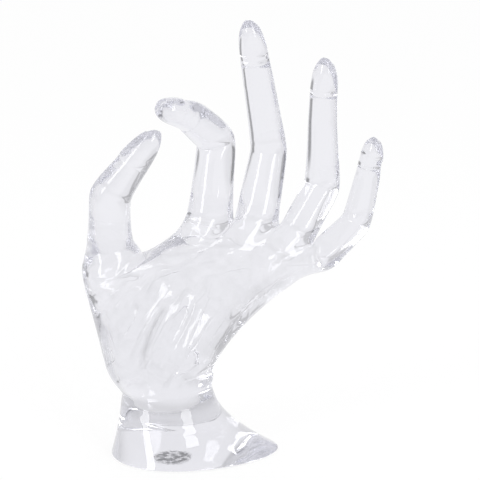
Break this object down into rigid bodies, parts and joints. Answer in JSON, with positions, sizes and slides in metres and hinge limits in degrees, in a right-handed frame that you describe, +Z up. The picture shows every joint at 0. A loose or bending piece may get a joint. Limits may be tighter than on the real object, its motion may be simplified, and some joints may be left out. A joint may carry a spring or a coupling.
{
  "type": "hand jewelry stand",
  "caption": "Clear cast hand in an open ring gesture on a flared wrist, which stands on its flat base and holds rings, bracelets and chains on its fingers.",
  "frame": {"origin": "middle of the flat underside of the wrist's flared base", "axes": "+Z up through the hand, +X to the little finger's side, -Y to the palm side"},
  "size_m": [0.108, 0.0462, 0.16],
  "materials": {
    "clear_acrylic": "clear cast acrylic, polished, with a faint lavender grey where it is thick"
  },
  "bodies": {
    "root": {"jewelry_hand": "clear_acrylic"}
  },
  "joints": []
}
